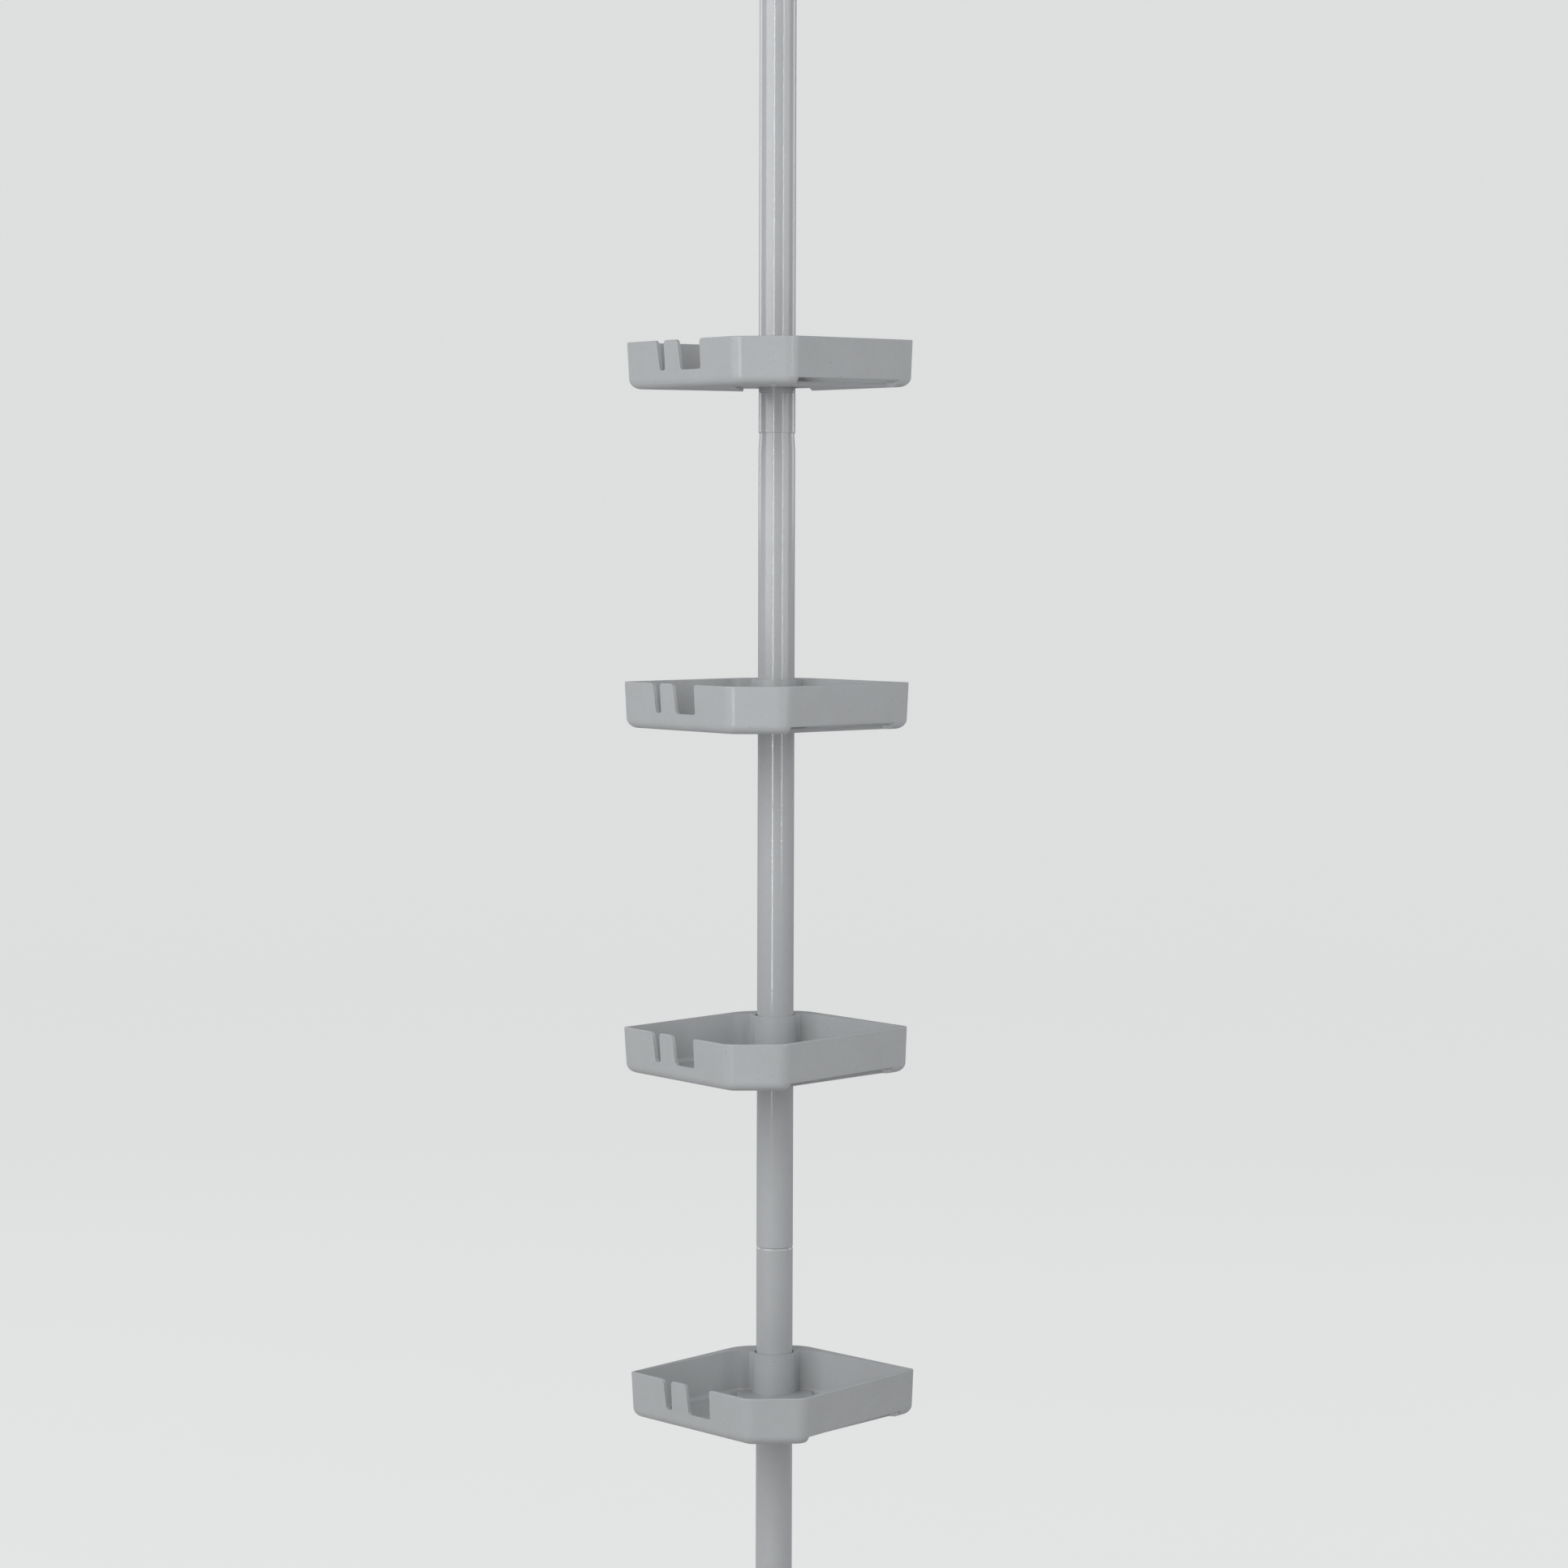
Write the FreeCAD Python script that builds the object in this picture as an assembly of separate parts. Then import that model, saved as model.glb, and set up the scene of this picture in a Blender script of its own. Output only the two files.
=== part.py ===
import FreeCAD, Part
import math
import os

# Corner shower caddy on a spring-loaded tension pole, four trays.
# Millimetres, +Z up, front of the caddy towards -Y, origin on the floor at the pole's axis.

# ---- driving dimensions -------------------------------------------------
# pole
TUBE_R = 12.7                 # one-inch tube
TUBE_WALL = 0.7
SECTION_LENGTH = 565.6        # exposed length of one pole section
SECTION_COUNT = 4
SPIGOT_LENGTH = 40.0          # reduced end of a tube, inside the next one
SPIGOT_GAP = 0.1              # radial play of the spigot
TAPER_LENGTHS = [1.5, 12.0, 1.5]   # visible shoulder between the tube and its spigot, joints from below
LIP_ROUND = 0.3               # rounding of a tube's cut end
MARK_GROOVE_DEPTH = 0.25      # rolled ring mark on one tube
MARK_GROOVE_R = 0.5
MARK_GROOVE_RISE = 28.0       # above that tube's lower end
MARK_GROOVE_TUBE = 2          # its index, counted from 0 at the floor
PAST = 1.0                    # a cutting shape runs this far past the faces it cuts

# feet
PAD_HEIGHT = 16.0
PAD_BOTTOM_R = 24.0
PAD_TOP_R = 16.0
PAD_FLOOR = 5.0               # thickness of the soft pad under the plug
PAD_LIP_ROUND = 2.0
PLUG_FLANGE_R = 12.7
PLUG_FLANGE_HEIGHT = 3.0
PLUG_LENGTH = 22.0
PLUG_TIP = 2.0                # chamfer of its inner end
PLUG_WALL = 2.5
PLUG_HOLLOW_START = 6.0
PLUG_FIT_GAP = 0.1
PRESS_GAP = 0.02              # radial play of a part crimped in a tube

# spring-loaded top end
SLIDER_R = 11.0
SLIDER_SHOWING = 100.0        # sliding tube above the top section at rest
SLIDER_INSIDE = 150.0
SLIDER_TRAVEL = 45.0
BUSH_LENGTH = 30.0
BUSH_LIP = 2.5
BUSH_LIP_R = 13.6
BUSH_LIP_CHAMFER = 1.0
RUNNING_GAP = 0.05
FOLLOWER_LENGTH = 24.0
FOLLOWER_R = 11.7
SPRING_R = 9.0
SPRING_WIRE_R = 1.1
SPRING_PITCH = 10.0
SPRING_LENGTH = 160.0
SPRING_STOP_LENGTH = 14.0
SPRING_STOP_WALL = 4.0
FACE_GAP = 0.3

# trays
TRAY_RIM_Z = [499.2, 735.9, 969.7, 1200.0]   # rim height at the pole, lowest tray first
TRAY_TURN = [4.8, -0.5, -0.5, 1.1]           # turned about the pole, degrees
TRAY_LEAN = [0.4, 1.2, 0.8, 1.7]             # front edge down, degrees
TRAY_TILT = [0.45, 0.8, 0.1, 0.5]            # right side up, degrees
TRAY_HEIGHT = 31.5
TRAY_SHIFT = -2.3             # the tray's middle plane from the pole's axis
TIP = (97.0, -60.5)           # side corners
FRONT = (19.5, -148.0)        # corners of the front facet
REAR = (22.1, 20.5)           # corners of the rear facet
FRONT_CORNER_R = 12.0
REAR_CORNER_R = 24.0
REAR_INNER_R = 22.0
TIP_R = 2.0
BASE_ROUND = 6.5
WALL = 2.2
WALL_DRAFT = 1.5              # how much the outline shrinks from rim to base
RIM_ROUND = 0.8
LEDGE_REAR = 15.5             # flat rim behind the pole
LEDGE_TIP = 1.8               # the same rim at the side corners
LEDGE_CORNER_X = 24.5
FLOOR_DEPTH = 28.9            # rim to basin floor
FLOOR_ROUND = 3.0
PLATEAU_HALF = 26.2           # raised middle strip of the floor, hollow underneath
PLATEAU_DEPTH = 27.8
CHANNEL_DEPTH = 29.4
PLATEAU_FRONT = -108.0
CHANNEL_WALL = 2.0
CHANNEL_REAR_WALL = 2.5

# pole boss of a tray
BOSS_TOP_R = 14.65
BOSS_BASE_R = 16.0
WEB_START = (14.4, 2.0)       # where the web leaves the boss: sideways, and in front of the axis
WEB_LEFT = 17.5               # half widths of the web at its back
WEB_RIGHT = 18.6
WEB_BACK = 4.5
WEB_INTO_REAR = 7.5           # the web stops this far inside the rear wall's outer face
BORE_R = 13.5
SOCKET_TOP = 7.0              # depth below the rim where the sleeve's socket starts
SOCKET_BASE = 23.0
SOCKET_TOP_R = 14.0
SOCKET_BASE_R = 14.45
ENTRY_R = 14.6
LEAN_CENTRE = 15.0            # depth of the point that a tray leans about

# locking sleeve, two halves under each boss
SLEEVE_TOP_R = 13.45
SLEEVE_BASE_R = 13.9
SLEEVE_SPLIT = 0.8
SLEEVE_END_GAP = 1.0

# cut-outs of the left front wall, measured from the left tip
SLOT_START = 34.0
SLOT_TOP_WIDTH = 8.0
SLOT_BASE_WIDTH = 5.6
NOTCH_START = 56.5
NOTCH_TOP_WIDTH = 24.0
NOTCH_BASE_WIDTH = 21.5
CUT_DEPTH = 20.0
CUT_TOP_R = 2.4
CUT_BASE_R = 1.8
CUT_MARGIN = 4.0              # the cutting shape starts this far outside the wall
CUT_REACH = 10.0              # and ends this far inside its outer face
CUT_RISE = 3.0                # and this far above the rim

# washcloth slot in the floor behind the right front wall, measured from the front facet
CLOTH_START = 6.0
CLOTH_END = 103.0
CLOTH_WALL_DEPTH = 26.8       # depth of the wall's lower edge along the slot
CLOTH_REACH_FRONT = 16.0      # from the wall's outer face to the floor, at the slot's front end
CLOTH_REACH_TIP = 10.5        # and at its end near the side corner
CLOTH_CORNER_R = 2.5

PARTS = "parts"
Z_AXIS = FreeCAD.Vector(0, 0, 1)


# ---- helpers ------------------------------------------------------------
def vec(x, y, z=0.0):
    return FreeCAD.Vector(x, y, z)


def save(shape, name):
    shape.exportStep(os.path.join(PARTS, name + ".step"))
    print(name, "valid", shape.isValid(), "solids", len(shape.Solids), "volume", round(shape.Volume, 1))


def cylinder(radius, low, high):
    return Part.makeCylinder(radius, high - low, vec(0, 0, low))


def cone(low_r, high_r, low, high):
    return Part.makeCone(low_r, high_r, high - low, vec(0, 0, low))


def turned(points):
    """Solid of revolution about Z from (radius, height) points."""
    corners = [vec(r, 0, z) for r, z in points]
    face = Part.Face(Part.makePolygon(corners + corners[:1]))
    return face.revolve(vec(0, 0, 0), Z_AXIS, 360)


def crossing(p, d, q, e):
    """Where the line through p along d meets the line through q along e."""
    t = ((q[0] - p[0]) * e[1] - (q[1] - p[1]) * e[0]) / (d[0] * e[1] - d[1] * e[0])
    return (p[0] + d[0] * t, p[1] + d[1] * t)


def inset(points, distances):
    """Move each side of an anticlockwise outline inwards by its own distance."""
    lines = []
    count = len(points)
    for i in range(count):
        a = points[i]
        b = points[(i + 1) % count]
        length = math.hypot(b[0] - a[0], b[1] - a[1])
        d = ((b[0] - a[0]) / length, (b[1] - a[1]) / length)
        lines.append(((a[0] - d[1] * distances[i], a[1] + d[0] * distances[i]), d))
    result = []
    for i in range(count):
        before = lines[i - 1]
        after = lines[i]
        result.append(crossing(before[0], before[1], after[0], after[1]))
    return result


def outline(points, radii, z):
    """Closed wire through the points, each corner rounded by its radius (0 keeps it sharp)."""
    count = len(points)
    edges = []
    starts = []
    ends = []
    arcs = []
    for i in range(count):
        p = vec(points[i][0], points[i][1], z)
        to_before = (vec(points[i - 1][0], points[i - 1][1], z) - p).normalize()
        to_after = (vec(points[(i + 1) % count][0], points[(i + 1) % count][1], z) - p).normalize()
        half = to_before.getAngle(to_after) / 2
        reach = radii[i] / math.tan(half)
        starts.append(p + to_before * reach)
        ends.append(p + to_after * reach)
        middle = (to_before + to_after).normalize() * (radii[i] / math.sin(half) - radii[i])
        arcs.append(p + middle)
    for i in range(count):
        if radii[i] > 0:
            edges.append(Part.Arc(starts[i], arcs[i], ends[i]).toShape())
        edges.append(Part.LineSegment(ends[i], starts[(i + 1) % count]).toShape())
    return Part.Wire(edges)


def edges_at(shape, z, tolerance=0.01):
    found = []
    for edge in shape.Edges:
        box = edge.BoundBox
        if abs(box.ZMin - z) < tolerance and abs(box.ZMax - z) < tolerance:
            found.append(edge)
    return found


# ---- pole ---------------------------------------------------------------
BORE_OF_TUBE = TUBE_R - TUBE_WALL
SPIGOT_R = BORE_OF_TUBE - SPIGOT_GAP
TUBES_BASE = PAD_FLOOR + PLUG_FLANGE_HEIGHT


def tube_base(index):
    return TUBES_BASE + SECTION_LENGTH * index


def pole_tube(index):
    low = tube_base(index)
    high = low + SECTION_LENGTH
    if index == SECTION_COUNT - 1:
        points = [
            (BORE_OF_TUBE, low),
            (TUBE_R - LIP_ROUND, low),
            (TUBE_R, low + LIP_ROUND),
            (TUBE_R, high),
            (BORE_OF_TUBE, high),
        ]
    else:
        taper = TAPER_LENGTHS[index]
        spigot_bore = SPIGOT_R - TUBE_WALL
        points = [
            (BORE_OF_TUBE, low),
            (TUBE_R - LIP_ROUND, low),
            (TUBE_R, low + LIP_ROUND),
            (TUBE_R, high - taper),
            (SPIGOT_R, high),
            (SPIGOT_R, high + SPIGOT_LENGTH),
            (spigot_bore, high + SPIGOT_LENGTH),
            (spigot_bore, high),
            (BORE_OF_TUBE, high - taper),
        ]
    tube = turned(points)
    if index == MARK_GROOVE_TUBE:
        groove = Part.makeTorus(TUBE_R - MARK_GROOVE_DEPTH + MARK_GROOVE_R, MARK_GROOVE_R)
        groove.translate(vec(0, 0, low + MARK_GROOVE_RISE))
        tube = tube.cut(groove)
    return tube


def foot_pad():
    """Soft cup that stands on the floor and holds the end plug, wide side down."""
    pad = cone(PAD_BOTTOM_R, PAD_TOP_R, 0, PAD_HEIGHT)
    pad = pad.makeFillet(PAD_LIP_ROUND, edges_at(pad, 0) + edges_at(pad, PAD_HEIGHT))
    return pad.cut(cylinder(TUBE_R, PAD_FLOOR, PAD_HEIGHT + PAST))


def end_plug(bore):
    """Flanged plug pushed into a tube's end; its flange rests in the foot pad."""
    body_r = bore - PLUG_FIT_GAP
    plug = turned([
        (0, 0),
        (PLUG_FLANGE_R, 0),
        (PLUG_FLANGE_R, PLUG_FLANGE_HEIGHT),
        (body_r, PLUG_FLANGE_HEIGHT),
        (body_r, PLUG_LENGTH - PLUG_TIP),
        (body_r - PLUG_TIP, PLUG_LENGTH),
        (0, PLUG_LENGTH),
    ])
    return plug.cut(cylinder(body_r - PLUG_WALL, PLUG_HOLLOW_START, PLUG_LENGTH + PAST))


POLE_TOP = tube_base(SECTION_COUNT)
SLIDER_TOP = POLE_TOP + SLIDER_SHOWING
SLIDER_BASE = POLE_TOP - SLIDER_INSIDE
TOTAL_HEIGHT = SLIDER_TOP + PLUG_FLANGE_HEIGHT + PAD_FLOOR
FOLLOWER_BASE = SLIDER_BASE - FOLLOWER_LENGTH / 2
SPRING_TOP = FOLLOWER_BASE - FACE_GAP
SPRING_BASE = SPRING_TOP - SPRING_LENGTH


def upside_down(shape):
    flipped = shape.copy()
    flipped.rotate(vec(0, 0, 0), vec(1, 0, 0), 180)
    flipped.translate(vec(0, 0, TOTAL_HEIGHT))
    return flipped


def sliding_tube():
    tube = cylinder(SLIDER_R, SLIDER_BASE, SLIDER_TOP)
    return tube.cut(cylinder(SLIDER_R - TUBE_WALL, SLIDER_BASE - PAST, SLIDER_TOP + PAST))


def guide_bush():
    """Plastic bush in the top tube's mouth; the sliding tube runs in it."""
    inner = SLIDER_R + RUNNING_GAP
    outer = BORE_OF_TUBE - PRESS_GAP
    return turned([
        (inner, POLE_TOP - BUSH_LENGTH),
        (outer, POLE_TOP - BUSH_LENGTH),
        (outer, POLE_TOP),
        (BUSH_LIP_R, POLE_TOP),
        (BUSH_LIP_R, POLE_TOP + BUSH_LIP - BUSH_LIP_CHAMFER),
        (BUSH_LIP_R - BUSH_LIP_CHAMFER, POLE_TOP + BUSH_LIP),
        (inner, POLE_TOP + BUSH_LIP),
    ])


def follower():
    """Plug in the sliding tube's lower end that the spring pushes up on."""
    neck = SLIDER_R - TUBE_WALL - PLUG_FIT_GAP
    return turned([
        (0, FOLLOWER_BASE),
        (FOLLOWER_R, FOLLOWER_BASE),
        (FOLLOWER_R, SLIDER_BASE),
        (neck, SLIDER_BASE),
        (neck, SLIDER_BASE + FOLLOWER_LENGTH / 2),
        (0, SLIDER_BASE + FOLLOWER_LENGTH / 2),
    ])


def spring_stop():
    """Plug crimped in the top tube; the spring stands on it."""
    top = SPRING_BASE - FACE_GAP
    low = top - SPRING_STOP_LENGTH
    plug = cylinder(BORE_OF_TUBE - PRESS_GAP, low, top)
    return plug.cut(cylinder(BORE_OF_TUBE - SPRING_STOP_WALL, low - PAST, top - SPRING_STOP_WALL))


def spring():
    inner_length = SPRING_LENGTH - 2 * SPRING_WIRE_R
    helix = Part.makeHelix(SPRING_PITCH, inner_length, SPRING_R)
    circle = Part.Wire(Part.makeCircle(SPRING_WIRE_R, vec(SPRING_R, 0, 0), vec(0, 1, 0)))
    coil = Part.Wire(helix).makePipeShell([circle], True, True)
    coil.translate(vec(0, 0, SPRING_BASE + SPRING_WIRE_R))
    return coil


# ---- trays --------------------------------------------------------------
# The outline runs anticlockwise seen from above, so that insets go inwards.
RIM_OUTLINE = [
    (-FRONT[0] + TRAY_SHIFT, FRONT[1]),
    (FRONT[0] + TRAY_SHIFT, FRONT[1]),
    (TIP[0] + TRAY_SHIFT, TIP[1]),
    (REAR[0] + TRAY_SHIFT, REAR[1]),
    (-REAR[0] + TRAY_SHIFT, REAR[1]),
    (-TIP[0] + TRAY_SHIFT, TIP[1]),
]
OUTER_RADII = [FRONT_CORNER_R, FRONT_CORNER_R, TIP_R, REAR_CORNER_R, REAR_CORNER_R, TIP_R]
INNER_RADII = [FRONT_CORNER_R - WALL, FRONT_CORNER_R - WALL, 0, REAR_INNER_R, REAR_INNER_R, 0]


def inner_rim():
    """The basin's outline at the rim: even front walls, a rear rim that widens towards the pole."""
    front = inset(RIM_OUTLINE, [WALL, WALL, LEDGE_TIP, LEDGE_REAR, LEDGE_TIP, WALL])
    rear_y = REAR[1] - LEDGE_REAR
    return [
        front[0],
        front[1],
        front[2],
        (LEDGE_CORNER_X + TRAY_SHIFT, rear_y),
        (-LEDGE_CORNER_X + TRAY_SHIFT, rear_y),
        front[5],
    ]


def lofted(top_points, radii, depth, shrink):
    base_points = inset(top_points, [shrink] * len(top_points))
    base_radii = [max(r - shrink, 0) for r in radii]
    wires = [outline(top_points, radii, 0), outline(base_points, base_radii, -depth)]
    return Part.makeLoft(wires, True, True)


def along_wall(start, end, distance, inward, z):
    """Point on a front wall: distance from start along it, and inward from its outer face."""
    length = math.hypot(end[0] - start[0], end[1] - start[1])
    d = ((end[0] - start[0]) / length, (end[1] - start[1]) / length)
    return vec(start[0] + d[0] * distance - d[1] * inward, start[1] + d[1] * distance + d[0] * inward, z)


def rim_cut(first, top_width, base_width):
    """Cut-out from the rim of the left front wall: outer side slanted, inner side upright."""
    start = RIM_OUTLINE[5]
    end = RIM_OUTLINE[0]
    slant = top_width - base_width
    lean = slant / CUT_DEPTH
    right = first + top_width
    edge = 1 - math.sqrt(0.5)     # from a unit corner to the middle of its quarter arc, along each side

    def at(distance, z):
        return along_wall(start, end, distance, -CUT_MARGIN, z)

    t = CUT_TOP_R
    b = CUT_BASE_R
    left_top = first
    left_base = first + slant
    path = [
        Part.LineSegment(at(left_top - t, CUT_RISE), at(right + t, CUT_RISE)),
        Part.LineSegment(at(right + t, CUT_RISE), at(right + t, 0)),
        Part.Arc(at(right + t, 0), at(right + t * edge, -t * edge), at(right, -t)),
        Part.LineSegment(at(right, -t), at(right, -CUT_DEPTH + b)),
        Part.Arc(at(right, -CUT_DEPTH + b), at(right - b * edge, -CUT_DEPTH + b * edge),
                 at(right - b, -CUT_DEPTH)),
        Part.LineSegment(at(right - b, -CUT_DEPTH), at(left_base + b, -CUT_DEPTH)),
        Part.Arc(at(left_base + b, -CUT_DEPTH), at(left_base + b * edge, -CUT_DEPTH + b * edge),
                 at(left_base - lean * b, -CUT_DEPTH + b)),
        Part.LineSegment(at(left_base - lean * b, -CUT_DEPTH + b), at(left_top + lean * t, -t)),
        Part.Arc(at(left_top + lean * t, -t), at(left_top - t * edge, -t * edge), at(left_top - t, 0)),
        Part.LineSegment(at(left_top - t, 0), at(left_top - t, CUT_RISE)),
    ]
    face = Part.Face(Part.Wire([piece.toShape() for piece in path]))
    across = along_wall(start, end, 0, 1, 0) - along_wall(start, end, 0, 0, 0)
    return face.extrude(across * (CUT_MARGIN + CUT_REACH))


def cloth_cut():
    """Slot through the floor beside the right front wall, and the strip under that wall."""
    start = RIM_OUTLINE[1]
    end = RIM_OUTLINE[2]
    low = -TRAY_HEIGHT - PAST
    corners = [
        along_wall(start, end, CLOTH_START, -CUT_MARGIN, low),
        along_wall(start, end, CLOTH_END, -CUT_MARGIN, low),
        along_wall(start, end, CLOTH_END, CLOTH_REACH_TIP, low),
        along_wall(start, end, CLOTH_START, CLOTH_REACH_FRONT, low),
    ]
    plan = outline(corners, [0, 0, CLOTH_CORNER_R, CLOTH_CORNER_R], low)
    return Part.Face(plan).extrude(vec(0, 0, -CLOTH_WALL_DEPTH - low))


def tray_shape():
    body = lofted(RIM_OUTLINE, OUTER_RADII, TRAY_HEIGHT, WALL_DRAFT)
    body = body.makeFillet(BASE_ROUND, edges_at(body, -TRAY_HEIGHT))
    body = body.makeFillet(RIM_ROUND, edges_at(body, 0))

    basin = lofted(inner_rim(), INNER_RADII, FLOOR_DEPTH, WALL_DRAFT)
    basin = basin.makeFillet(FLOOR_ROUND, edges_at(basin, -FLOOR_DEPTH))
    shell = body.cut(basin)

    # raised middle strip, trimmed to the tray's own outer shape
    strip = Part.makeBox(2 * PLATEAU_HALF, REAR[1] - PLATEAU_FRONT, FLOOR_DEPTH - PLATEAU_DEPTH + PAST,
                         vec(-PLATEAU_HALF, PLATEAU_FRONT, -FLOOR_DEPTH - PAST))
    shell = shell.fuse(strip.common(body))

    # boss and the web that ties it to the rear rim
    boss = cone(BOSS_BASE_R, BOSS_TOP_R, -CHANNEL_DEPTH, 0)
    web_back = REAR[1] - WEB_INTO_REAR
    web_plan = [
        vec(-WEB_START[0], -WEB_START[1], -CHANNEL_DEPTH),
        vec(WEB_START[0], -WEB_START[1], -CHANNEL_DEPTH),
        vec(WEB_RIGHT, WEB_BACK, -CHANNEL_DEPTH),
        vec(WEB_RIGHT, web_back, -CHANNEL_DEPTH),
        vec(-WEB_LEFT, web_back, -CHANNEL_DEPTH),
        vec(-WEB_LEFT, WEB_BACK, -CHANNEL_DEPTH),
    ]
    web = Part.Face(Part.makePolygon(web_plan + web_plan[:1])).extrude(vec(0, 0, CHANNEL_DEPTH))
    column = boss.fuse(web)
    shell = shell.fuse(column.common(body.fuse(boss)))

    # hollow under the strip, and the sleeve's socket
    channel_half = PLATEAU_HALF - CHANNEL_WALL
    channel_front = PLATEAU_FRONT + CHANNEL_WALL
    channel_length = REAR[1] - CHANNEL_REAR_WALL - channel_front
    channel = Part.makeBox(2 * channel_half, channel_length, TRAY_HEIGHT - CHANNEL_DEPTH + PAST,
                           vec(-channel_half, channel_front, -TRAY_HEIGHT - PAST))
    shell = shell.cut(channel)
    bore = cylinder(BORE_R, -SOCKET_TOP, PAST)
    socket = cone(SOCKET_BASE_R, SOCKET_TOP_R, -SOCKET_BASE, -SOCKET_TOP)
    entry = cylinder(ENTRY_R, -TRAY_HEIGHT - PAST, -SOCKET_BASE)
    shell = shell.cut(bore.fuse([socket, entry]))

    # cut-outs of the two front walls
    shell = shell.cut(rim_cut(SLOT_START, SLOT_TOP_WIDTH, SLOT_BASE_WIDTH))
    shell = shell.cut(rim_cut(NOTCH_START, NOTCH_TOP_WIDTH, NOTCH_BASE_WIDTH))
    return shell.cut(cloth_cut())


def placed(shape, index):
    """Put a tray-frame shape on the pole: lean, tilt, turn, then lift to its rim height."""
    moved = shape.copy()
    centre = vec(0, 0, -LEAN_CENTRE)
    moved.rotate(centre, vec(1, 0, 0), TRAY_LEAN[index])
    moved.rotate(centre, vec(0, 1, 0), -TRAY_TILT[index])
    moved.rotate(centre, Z_AXIS, TRAY_TURN[index])
    moved.translate(vec(0, 0, TRAY_RIM_Z[index]))
    return moved


def sleeve_half(index, side):
    """Half of a tapered locking sleeve: side -1 is the front half, +1 the rear half."""
    low = TRAY_RIM_Z[index] - SOCKET_BASE + SLEEVE_END_GAP
    high = TRAY_RIM_Z[index] - SOCKET_TOP - SLEEVE_END_GAP
    ring = cone(SLEEVE_BASE_R, SLEEVE_TOP_R, low, high)
    ring = ring.cut(cylinder(TUBE_R + RUNNING_GAP, low - PAST, high + PAST))
    half = SLEEVE_BASE_R + PAST
    keep = Part.makeBox(2 * half, half, high - low + 2 * PAST, vec(-half, SLEEVE_SPLIT / 2, low - PAST))
    if side < 0:
        keep = keep.mirror(vec(0, 0, 0), vec(0, 1, 0))
    return ring.common(keep)


# ---- write the pieces ---------------------------------------------------
os.makedirs(PARTS, exist_ok=True)

save(foot_pad(), "bottom_foot_pad")
bottom_plug = end_plug(BORE_OF_TUBE)
bottom_plug.translate(vec(0, 0, PAD_FLOOR))
save(bottom_plug, "bottom_plug")
for number in range(SECTION_COUNT):
    save(pole_tube(number), "pole_tube_%d" % (number + 1))
save(guide_bush(), "guide_bush")
save(spring_stop(), "spring_stop")
save(spring(), "tension_spring")

save(sliding_tube(), "sliding_tube")
save(follower(), "spring_follower")
top_plug = end_plug(SLIDER_R - TUBE_WALL)
top_plug.translate(vec(0, 0, PAD_FLOOR))
save(upside_down(top_plug), "top_plug")
save(upside_down(foot_pad()), "top_foot_pad")

one_tray = tray_shape()
for number in range(len(TRAY_RIM_Z)):
    save(placed(one_tray, number), "tray_%d" % (number + 1))
    save(sleeve_half(number, -1), "sleeve_front_%d" % (number + 1))
    save(sleeve_half(number, 1), "sleeve_rear_%d" % (number + 1))

print("total height", TOTAL_HEIGHT, "spring", SPRING_BASE, SPRING_TOP)
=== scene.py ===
import math

import bmesh
import bpy
from mathutils import Matrix, Vector


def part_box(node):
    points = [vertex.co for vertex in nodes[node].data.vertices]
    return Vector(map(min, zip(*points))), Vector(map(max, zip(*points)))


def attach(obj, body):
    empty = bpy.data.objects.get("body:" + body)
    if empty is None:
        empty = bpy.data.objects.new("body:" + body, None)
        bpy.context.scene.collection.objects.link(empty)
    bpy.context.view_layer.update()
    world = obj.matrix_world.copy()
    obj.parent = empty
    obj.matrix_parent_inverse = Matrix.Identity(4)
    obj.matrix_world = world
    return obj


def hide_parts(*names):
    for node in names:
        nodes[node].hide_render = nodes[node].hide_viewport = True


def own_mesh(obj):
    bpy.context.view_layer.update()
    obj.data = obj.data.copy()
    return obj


# Corner shower caddy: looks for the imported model. Metres, same frame as the CAD.

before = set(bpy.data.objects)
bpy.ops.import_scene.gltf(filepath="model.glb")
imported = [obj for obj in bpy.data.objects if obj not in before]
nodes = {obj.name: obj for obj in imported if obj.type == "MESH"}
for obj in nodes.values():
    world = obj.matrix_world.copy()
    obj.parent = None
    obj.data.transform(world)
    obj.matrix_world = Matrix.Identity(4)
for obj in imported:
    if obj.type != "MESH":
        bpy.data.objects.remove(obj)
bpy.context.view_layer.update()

MM = 0.001


# ---- node helpers -------------------------------------------------------
def new_material(name):
    material = bpy.data.materials.new(name)
    material.use_nodes = True
    tree = material.node_tree
    tree.nodes.clear()
    output = tree.nodes.new("ShaderNodeOutputMaterial")
    shader = tree.nodes.new("ShaderNodeBsdfPrincipled")
    tree.links.new(shader.outputs["BSDF"], output.inputs["Surface"])
    return material, tree, shader


def object_coordinates(tree, scale=(1, 1, 1)):
    coordinates = tree.nodes.new("ShaderNodeTexCoord")
    mapping = tree.nodes.new("ShaderNodeMapping")
    mapping.inputs["Scale"].default_value = scale
    tree.links.new(coordinates.outputs["Object"], mapping.inputs["Vector"])
    return mapping.outputs["Vector"]


def noise(tree, vector, scale, detail=4.0, roughness=0.55):
    node = tree.nodes.new("ShaderNodeTexNoise")
    node.inputs["Scale"].default_value = scale
    node.inputs["Detail"].default_value = detail
    node.inputs["Roughness"].default_value = roughness
    tree.links.new(vector, node.inputs["Vector"])
    return node.outputs["Fac"]


def ramp(tree, value, stops):
    node = tree.nodes.new("ShaderNodeValToRGB")
    elements = node.color_ramp.elements
    while len(elements) < len(stops):
        elements.new(0.5)
    for element, (position, colour) in zip(elements, stops):
        element.position = position
        element.color = (*colour, 1) if len(colour) == 3 else colour
    tree.links.new(value, node.inputs["Fac"])
    return node.outputs["Color"]


def grey(level):
    return (level, level, level)


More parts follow.
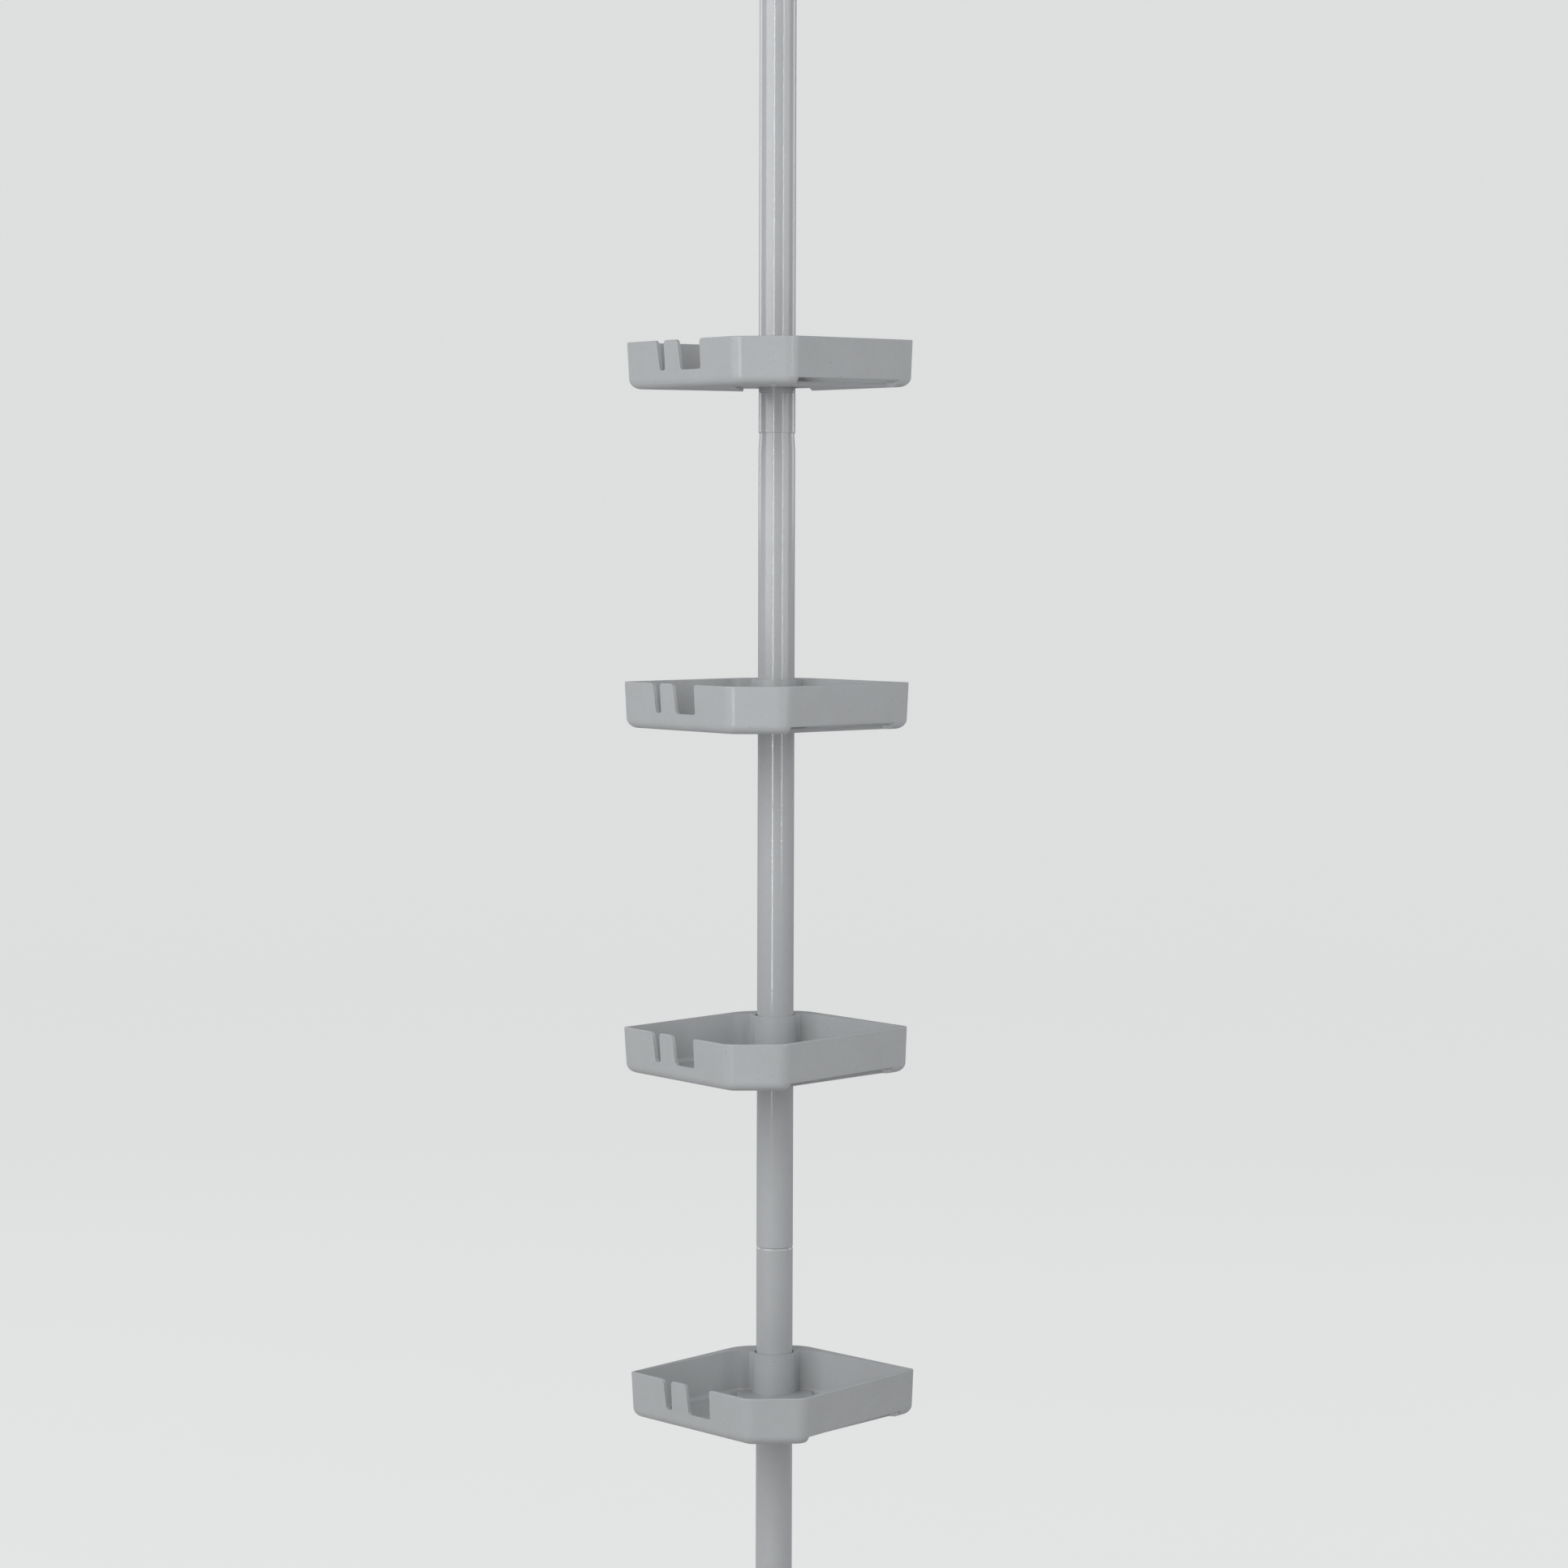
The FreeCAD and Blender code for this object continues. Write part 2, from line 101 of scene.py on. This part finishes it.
def spread(tree, value, low, high):
    node = tree.nodes.new("ShaderNodeMapRange")
    node.inputs["To Min"].default_value = low
    node.inputs["To Max"].default_value = high
    tree.links.new(value, node.inputs["Value"])
    return node.outputs["Result"]


def mix_colours(tree, factor, first, second, blend="MIX"):
    node = tree.nodes.new("ShaderNodeMix")
    node.data_type = "RGBA"
    node.blend_type = blend
    sockets = (node.inputs["Factor"], node.inputs[6], node.inputs[7])    # 6 and 7 are the colours
    for socket, value in zip(sockets, (factor, first, second)):
        if isinstance(value, bpy.types.NodeSocket):
            tree.links.new(value, socket)
        else:
            socket.default_value = value
    return node.outputs[2]


def add_bump(tree, shader, heights):
    """Chain bump nodes: each entry is (height socket, strength, distance in metres)."""
    previous = None
    for height, strength, distance in heights:
        bump = tree.nodes.new("ShaderNodeBump")
        bump.inputs["Strength"].default_value = strength
        bump.inputs["Distance"].default_value = distance
        tree.links.new(height, bump.inputs["Height"])
        if previous is not None:
            tree.links.new(previous, bump.inputs["Normal"])
        previous = bump.outputs["Normal"]
    tree.links.new(previous, shader.inputs["Normal"])


# ---- materials ------------------------------------------------------------
SPECK_RAGGEDNESS = 0.12         # how far a speck's outline wanders, in cells


def grain(tree, place, low, high, scale=35):
    """Base colour that drifts gently between two colours, in broad clouds and a finer mottle."""
    clouds = ramp(tree, noise(tree, place, scale, 3), [(0.3, low), (0.7, high)])
    mottle = ramp(tree, noise(tree, place, scale * 9, 3), [(0.35, grey(0.975)), (0.65, grey(1.0))])
    return mix_colours(tree, 1.0, clouds, mottle, "MULTIPLY")


def specks(tree, place, density, size):
    """Mask of sparse small marks with ragged outlines."""
    ragged = tree.nodes.new("ShaderNodeTexNoise")
    ragged.inputs["Scale"].default_value = density * 6
    tree.links.new(place, ragged.inputs["Vector"])
    shifted = tree.nodes.new("ShaderNodeVectorMath")
    shifted.operation = "MULTIPLY_ADD"
    shifted.inputs[1].default_value = grey(SPECK_RAGGEDNESS / density)
    tree.links.new(ragged.outputs["Color"], shifted.inputs[0])
    tree.links.new(place, shifted.inputs[2])
    cells = tree.nodes.new("ShaderNodeTexVoronoi")
    cells.inputs["Scale"].default_value = density
    tree.links.new(shifted.outputs["Vector"], cells.inputs["Vector"])
    marks = ramp(tree, cells.outputs["Distance"], [(size * 0.5, grey(1)), (size, grey(0))])
    chosen = ramp(tree, cells.outputs["Color"], [(0.60, grey(0)), (0.65, grey(1))])
    return mix_colours(tree, 1.0, marks, chosen, "MULTIPLY")


def tray_material():
    """Semi-gloss moulded grey plastic: faint clouds, soft mould texture, sparse dark specks."""
    material, tree, shader = new_material("moulded_grey_plastic")
    place = object_coordinates(tree)
    base = grain(tree, place, (0.378, 0.388, 0.397), (0.396, 0.407, 0.416))
    marks = specks(tree, place, 220, 0.12)
    colour = mix_colours(tree, marks, base, (0.27, 0.276, 0.282, 1))
    tree.links.new(colour, shader.inputs["Base Color"])
    tree.links.new(spread(tree, noise(tree, place, 60, 2), 0.24, 0.28), shader.inputs["Roughness"])
    shader.inputs["IOR"].default_value = 1.49
    shader.inputs["Specular IOR Level"].default_value = 0.38
    add_bump(tree, shader, [
        (noise(tree, place, 900, 1), 0.02, 0.00002),
        (noise(tree, place, 110, 2), 0.05, 0.00015),
    ])
    return material


def pole_material():
    """Grey powder-coated steel tube: orange peel that breaks up its narrow highlights."""
    material, tree, shader = new_material("powder_coated_tube")
    place = object_coordinates(tree)
    along = object_coordinates(tree, (900, 900, 3))
    base = grain(tree, place, (0.402, 0.412, 0.422), (0.416, 0.426, 0.436), 22)
    marks = specks(tree, place, 200, 0.09)
    colour = mix_colours(tree, marks, base, (0.33, 0.336, 0.342, 1))
    tree.links.new(colour, shader.inputs["Base Color"])
    tree.links.new(spread(tree, noise(tree, place, 140, 4), 0.13, 0.20), shader.inputs["Roughness"])
    shader.inputs["IOR"].default_value = 1.5
    shader.inputs["Coat Weight"].default_value = 0.25
    shader.inputs["Coat Roughness"].default_value = 0.08
    add_bump(tree, shader, [
        (noise(tree, place, 380, 2), 0.10, 0.00022),
        (noise(tree, along, 1.0, 2), 0.05, 0.00006),
    ])
    return material


def sleeve_material():
    """Matt moulded plastic of the sleeves, plugs and bush."""
    material, tree, shader = new_material("matt_grey_plastic")
    place = object_coordinates(tree)
    base = grain(tree, place, (0.345, 0.355, 0.363), (0.370, 0.380, 0.388), 60)
    tree.links.new(base, shader.inputs["Base Color"])
    tree.links.new(spread(tree, noise(tree, place, 200, 4), 0.48, 0.62), shader.inputs["Roughness"])
    add_bump(tree, shader, [(noise(tree, place, 1900, 2), 0.12, 0.00006)])
    return material


def rubber_material():
    """Soft grey elastomer of the foot pads: matt, slightly dusty, with rubbed patches."""
    material, tree, shader = new_material("soft_grey_elastomer")
    place = object_coordinates(tree)
    base = grain(tree, place, (0.205, 0.210, 0.215), (0.255, 0.260, 0.265), 90)
    dust = ramp(tree, noise(tree, place, 26, 4), [(0.50, grey(0.0)), (0.75, grey(0.35))])
    colour = mix_colours(tree, dust, base, (0.36, 0.36, 0.355, 1))
    tree.links.new(colour, shader.inputs["Base Color"])
    tree.links.new(spread(tree, noise(tree, place, 300, 4), 0.66, 0.84), shader.inputs["Roughness"])
    shader.inputs["Sheen Weight"].default_value = 0.15
    shader.inputs["Sheen Roughness"].default_value = 0.5
    add_bump(tree, shader, [(noise(tree, place, 1400, 3), 0.18, 0.0001)])
    return material


def steel_material():
    """Bright drawn spring wire with fine die lines."""
    material, tree, shader = new_material("drawn_spring_wire")
    place = object_coordinates(tree)
    base = ramp(tree, noise(tree, place, 150, 3), [(0.3, (0.50, 0.50, 0.51)), (0.7, (0.60, 0.60, 0.61))])
    tree.links.new(base, shader.inputs["Base Color"])
    shader.inputs["Metallic"].default_value = 1.0
    tree.links.new(spread(tree, noise(tree, place, 700, 3), 0.22, 0.34), shader.inputs["Roughness"])
    add_bump(tree, shader, [(noise(tree, place, 1200, 2), 0.08, 0.00004)])
    return material


def cover(obj, material):
    obj.data.materials.clear()
    obj.data.materials.append(material)


# ---- mesh helper ----------------------------------------------------------
SHARP_ANGLE = 35                # degrees; a steeper edge is shaded sharp


def lathe(name, profile, segments):
    """Surface of revolution about Z. Where the profile starts or ends on the axis it is closed."""
    mesh = bpy.data.meshes.new(name)
    shape = bmesh.new()
    rings = []
    for radius, height in profile:
        if radius == 0.0:
            rings.append([shape.verts.new((0, 0, height))])
            continue
        ring = []
        for i in range(segments):
            angle = 2 * math.pi * i / segments
            ring.append(shape.verts.new((radius * math.cos(angle), radius * math.sin(angle), height)))
        rings.append(ring)
    for lower, upper in zip(rings, rings[1:]):
        for i in range(segments):
            j = (i + 1) % segments
            if len(lower) == 1:
                shape.faces.new((lower[0], upper[j], upper[i]))
            elif len(upper) == 1:
                shape.faces.new((lower[i], lower[j], upper[0]))
            else:
                shape.faces.new((lower[i], lower[j], upper[j], upper[i]))
    bmesh.ops.recalc_face_normals(shape, faces=shape.faces)
    shape.to_mesh(mesh)
    shape.free()
    mesh.shade_smooth()
    mesh.set_sharp_from_angle(angle=math.radians(SHARP_ANGLE))
    obj = bpy.data.objects.new(name, mesh)
    bpy.context.scene.collection.objects.link(obj)
    return obj


# ---- stage, camera, lights ------------------------------------------------
def plain_material(name, level, roughness):
    """Pale matt finish with a very faint drift in its tone."""
    material, tree, shader = new_material(name)
    place = object_coordinates(tree)
    low = grey(level * 0.99)
    colour = ramp(tree, noise(tree, place, 3, 2), [(0.4, low), (0.6, grey(level))])
    tree.links.new(colour, shader.inputs["Base Color"])
    shader.inputs["Roughness"].default_value = roughness
    return material


STAGE_RADIUS = 10.0             # beyond every camera that looks at the whole object
STAGE_BEND = 2.5                # radius of the sweep from the floor up into the wall
STAGE_HEIGHT = 9.0
STAGE_SEGMENTS = 96
STAGE_STEPS = 24                # in the sweep
STAGE_LEVEL = 0.13
STAGE_GLOW = 0.69               # even light of the stage's own, so that it is pale on every side
BOUNCE_RADIUS = 4.0
BOUNCE_LEVEL = 0.62
BOUNCE_DROP = 2 * MM            # how far the bounce floor lies under the stage


def make_stage():
    """Pale round stage for the camera alone: a floor that sweeps up into a wall all the way round."""
    profile = [(0.0, 0.0)]
    for i in range(STAGE_STEPS + 1):
        angle = math.pi / 2 * i / STAGE_STEPS
        reach = STAGE_RADIUS - STAGE_BEND + STAGE_BEND * math.sin(angle)
        profile.append((reach, STAGE_BEND * (1 - math.cos(angle))))
    profile.append((STAGE_RADIUS, STAGE_HEIGHT))
    stage = lathe("studio_stage", profile, STAGE_SEGMENTS)
    pale = plain_material("pale_stage", STAGE_LEVEL, 0.9)
    shader = next(node for node in pale.node_tree.nodes if node.type == "BSDF_PRINCIPLED")
    shader.inputs["Specular IOR Level"].default_value = 0.0
    shader.inputs["Emission Color"].default_value = (0.99, 1.0, 1.0, 1)
    shader.inputs["Emission Strength"].default_value = STAGE_GLOW
    cover(stage, pale)
    stage.visible_diffuse = False
    stage.visible_glossy = False
    stage.visible_shadow = False


def make_bounce_floor():
    """Pale floor that only throws light back up at the object."""
    floor = lathe("bounce_floor", [(0.0, -BOUNCE_DROP), (BOUNCE_RADIUS, -BOUNCE_DROP)], STAGE_SEGMENTS)
    cover(floor, plain_material("pale_floor", BOUNCE_LEVEL, 0.85))
    floor.visible_camera = False


def around(azimuth, distance, height):
    """Point at an azimuth (0 is the front, positive to the right), distance and height from the pole."""
    a = math.radians(azimuth)
    return Vector((math.sin(a) * distance, -math.cos(a) * distance, height))


def area_light(name, place, aim, size, power):
    """Rectangular soft light at a place, facing a point."""
    data = bpy.data.lights.new(name, "AREA")
    data.shape = "RECTANGLE"
    data.size, data.size_y = size
    data.energy = power
    light = bpy.data.objects.new(name, data)
    light.location = place
    light.visible_camera = False
    light.rotation_euler = (aim - place).to_track_quat("-Z", "Y").to_euler()
    bpy.context.scene.collection.objects.link(light)


CAMERA_AZIMUTH = 3.5            # degrees, to the right of the front
CAMERA_DISTANCE = 2.514
CAMERA_HEIGHT = 1.0222
CAMERA_PITCH = 2.859            # degrees, downwards
CAMERA_ASIDE = 0.0056           # to the right of the line through the pole
CAMERA_ROLL = 0.17              # degrees
FOCAL_LENGTH = 83.24            # mm, on a sensor 36 mm wide


def make_camera():
    data = bpy.data.cameras.new("camera")
    data.lens = FOCAL_LENGTH
    data.sensor_width = 36.0
    data.clip_end = 60.0
    camera = bpy.data.objects.new("camera", data)
    a = math.radians(CAMERA_AZIMUTH)
    right = Vector((math.cos(a), math.sin(a), 0))
    place = around(CAMERA_AZIMUTH, CAMERA_DISTANCE, CAMERA_HEIGHT) + right * CAMERA_ASIDE
    turn = (
        Matrix.Rotation(a, 4, "Z")
        @ Matrix.Rotation(math.radians(90 - CAMERA_PITCH), 4, "X")
        @ Matrix.Rotation(math.radians(CAMERA_ROLL), 4, "Z")
    )
    camera.matrix_world = Matrix.Translation(place) @ turn
    bpy.context.scene.collection.objects.link(camera)
    bpy.context.scene.camera = camera


WORLD_STRENGTH = 0.30
KEY_DISTANCE = 3.4
STRIP_DISTANCE = 1.2
BACK_DISTANCE = 3.6
BACK_AZIMUTH = 128              # far enough round to leave no glare on rims seen from the front
AIM_HEIGHT = 1.05               # near the middle of the four trays
LEFT_STRIP_HEIGHT = 1.12
RIGHT_STRIP_HEIGHT = 1.25


def make_lights():
    """Two soft keys, two narrow strips for the pole's bright lines, and two weak lights behind."""
    world = bpy.data.worlds.new("studio")
    world.use_nodes = True
    background = world.node_tree.nodes["Background"]
    background.inputs["Color"].default_value = (0.96, 0.98, 1.0, 1)
    background.inputs["Strength"].default_value = WORLD_STRENGTH
    bpy.context.scene.world = world
    middle = Vector((0, 0, AIM_HEIGHT))
    left = around(CAMERA_AZIMUTH - 52, KEY_DISTANCE, 2.3)
    right = around(CAMERA_AZIMUTH + 60, KEY_DISTANCE, 2.0)
    area_light("soft_left", left, middle, (3.2, 2.8), 79)
    area_light("soft_right", right, middle, (2.4, 2.4), 30)
    left = around(CAMERA_AZIMUTH - 21, STRIP_DISTANCE, LEFT_STRIP_HEIGHT)
    right = around(CAMERA_AZIMUTH + 37, STRIP_DISTANCE, RIGHT_STRIP_HEIGHT)
    area_light("strip_left", left, Vector((0, 0, LEFT_STRIP_HEIGHT)), (0.08, 1.2), 3.8)
    area_light("strip_right", right, Vector((0, 0, RIGHT_STRIP_HEIGHT)), (0.06, 1.0), 2.2)
    for side in (-1, 1):
        back = around(side * BACK_AZIMUTH, BACK_DISTANCE, 2.2)
        area_light("soft_back", back, middle, (1.8, 2.2), 20)


# ---- foot pads ------------------------------------------------------------
PAD_SEGMENTS = 128
PAD_ROUND_STEPS = 8             # in each rounded lip
PAD_FLARE_STEPS = 24
PAD_SOCKET_RADIUS = 12.72 * MM
PAD_TOP_RADIUS = 16 * MM
PAD_FLOOR = 5 * MM
PAD_LIP = 2 * MM
PAD_TREAD_RINGS = (7.5 * MM, 11.5 * MM, 15.5 * MM)
PAD_TREAD_WIDTH = 1.4 * MM
PAD_TREAD_DEPTH = 0.8 * MM
PAD_HOLLOW = 0.9 * MM           # how far the flare's side curves inwards


def pad_profile(sole_radius, top_radius, height):
    """(radius, height) points of a pad standing on its sole: ring treads, flare, lip, socket."""
    points = [(0.0, 0.0)]
    for ring in PAD_TREAD_RINGS:
        half = PAD_TREAD_WIDTH / 2
        points += [(ring - half, 0.0), (ring - half, PAD_TREAD_DEPTH)]
        points += [(ring + half, PAD_TREAD_DEPTH), (ring + half, 0.0)]
    for i in range(PAD_ROUND_STEPS + 1):
        angle = math.pi / 2 * i / PAD_ROUND_STEPS
        rise = PAD_LIP * (1 - math.cos(angle))
        points.append((sole_radius - PAD_LIP + PAD_LIP * math.sin(angle), rise))
    for i in range(1, PAD_FLARE_STEPS):
        share = i / PAD_FLARE_STEPS
        radius = sole_radius + (top_radius - sole_radius) * share
        radius -= PAD_HOLLOW * math.sin(math.pi * share)
        points.append((radius, PAD_LIP + (height - 2 * PAD_LIP) * share))
    lip = min(PAD_LIP, (top_radius - PAD_SOCKET_RADIUS) / 2)
    middle = top_radius - lip
    for i in range(PAD_ROUND_STEPS + 1):
        angle = math.pi * i / PAD_ROUND_STEPS
        points.append((middle + lip * math.cos(angle), height - lip + lip * math.sin(angle)))
    points += [(PAD_SOCKET_RADIUS, PAD_FLOOR), (0.0, PAD_FLOOR)]
    return points


def make_foot_pads(material):
    """Soft pads in place of the plain ones; the top one is the bottom one upside down."""
    for node, body in (("bottom_foot_pad", "pole"), ("top_foot_pad", "top_end")):
        low, high = (Vector(corner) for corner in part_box(node))
        height = high.z - low.z
        sole_radius = (high.x - low.x) / 2
        profile = pad_profile(sole_radius, PAD_TOP_RADIUS, height)
        if node == "top_foot_pad":
            profile = [(radius, high.z - rise) for radius, rise in profile]
        else:
            profile = [(radius, low.z + rise) for radius, rise in profile]
        pad = lathe("soft_" + node, profile, PAD_SEGMENTS)
        cover(pad, material)
        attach(pad, body)
        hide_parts(node)


# ---- tension spring --------------------------------------------------------
SPRING_WIRE_RADIUS = 1.1 * MM
SPRING_OPEN_TURNS = 15
SPRING_CLOSED_TURNS = 1.5       # lying almost together at each end
SPRING_CLOSED_PITCH = 2.3 * MM
SPRING_STEPS = 48               # per turn
SPRING_SIDES = 14               # round the wire


def spring_rise(turn, length):
    """Height of the wire's middle after so many turns, with the end turns almost closed."""
    closed = SPRING_CLOSED_TURNS * SPRING_CLOSED_PITCH
    open_pitch = (length - 2 * closed) / SPRING_OPEN_TURNS
    if turn < SPRING_CLOSED_TURNS:
        return turn * SPRING_CLOSED_PITCH
    if turn < SPRING_CLOSED_TURNS + SPRING_OPEN_TURNS:
        return closed + (turn - SPRING_CLOSED_TURNS) * open_pitch
    past = turn - SPRING_CLOSED_TURNS - SPRING_OPEN_TURNS
    return closed + SPRING_OPEN_TURNS * open_pitch + past * SPRING_CLOSED_PITCH


def make_spring(material):
    """Coil spring with closed end turns."""
    low, high = (Vector(corner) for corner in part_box("tension_spring"))
    height = high.z - low.z
    radius = (high.x - low.x) / 2 - SPRING_WIRE_RADIUS
    turns = SPRING_OPEN_TURNS + 2 * SPRING_CLOSED_TURNS
    steps = round(turns * SPRING_STEPS)
    mesh = bpy.data.meshes.new("coil_spring")
    shape = bmesh.new()
    rings = []
    for i in range(steps + 1):
        turn = turns * i / steps
        angle = 2 * math.pi * turn
        outward = Vector((math.cos(angle), math.sin(angle), 0))
        rise = low.z + SPRING_WIRE_RADIUS + spring_rise(turn, height - 2 * SPRING_WIRE_RADIUS)
        centre = outward * radius + Vector((0, 0, rise))
        ring = []
        for k in range(SPRING_SIDES):
            round_wire = 2 * math.pi * k / SPRING_SIDES
            across = outward * math.cos(round_wire) + Vector((0, 0, math.sin(round_wire)))
            ring.append(shape.verts.new(centre + across * SPRING_WIRE_RADIUS))
        rings.append(ring)
    for lower, upper in zip(rings, rings[1:]):
        for k in range(SPRING_SIDES):
            n = (k + 1) % SPRING_SIDES
            shape.faces.new((lower[k], lower[n], upper[n], upper[k]))
    shape.faces.new(rings[0])
    shape.faces.new(rings[-1])
    bmesh.ops.recalc_face_normals(shape, faces=shape.faces)
    shape.to_mesh(mesh)
    shape.free()
    mesh.shade_smooth()
    spring = bpy.data.objects.new("coil_spring", mesh)
    bpy.context.scene.collection.objects.link(spring)
    cover(spring, material)
    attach(spring, "pole")
    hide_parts("tension_spring")
    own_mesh(spring)


# ---- dress the model ------------------------------------------------------
def dress():
    plastic = tray_material()
    paint = pole_material()
    matt = sleeve_material()
    rubber = rubber_material()
    wire = steel_material()
    make_foot_pads(rubber)
    make_spring(wire)
    for name, obj in nodes.items():
        if name.startswith("tray_"):
            cover(obj, plastic)
        elif "tube" in name:
            cover(obj, paint)
        else:
            cover(obj, matt)


bpy.context.scene.view_settings.view_transform = "Standard"
make_camera()
make_stage()
make_bounce_floor()
make_lights()
dress()
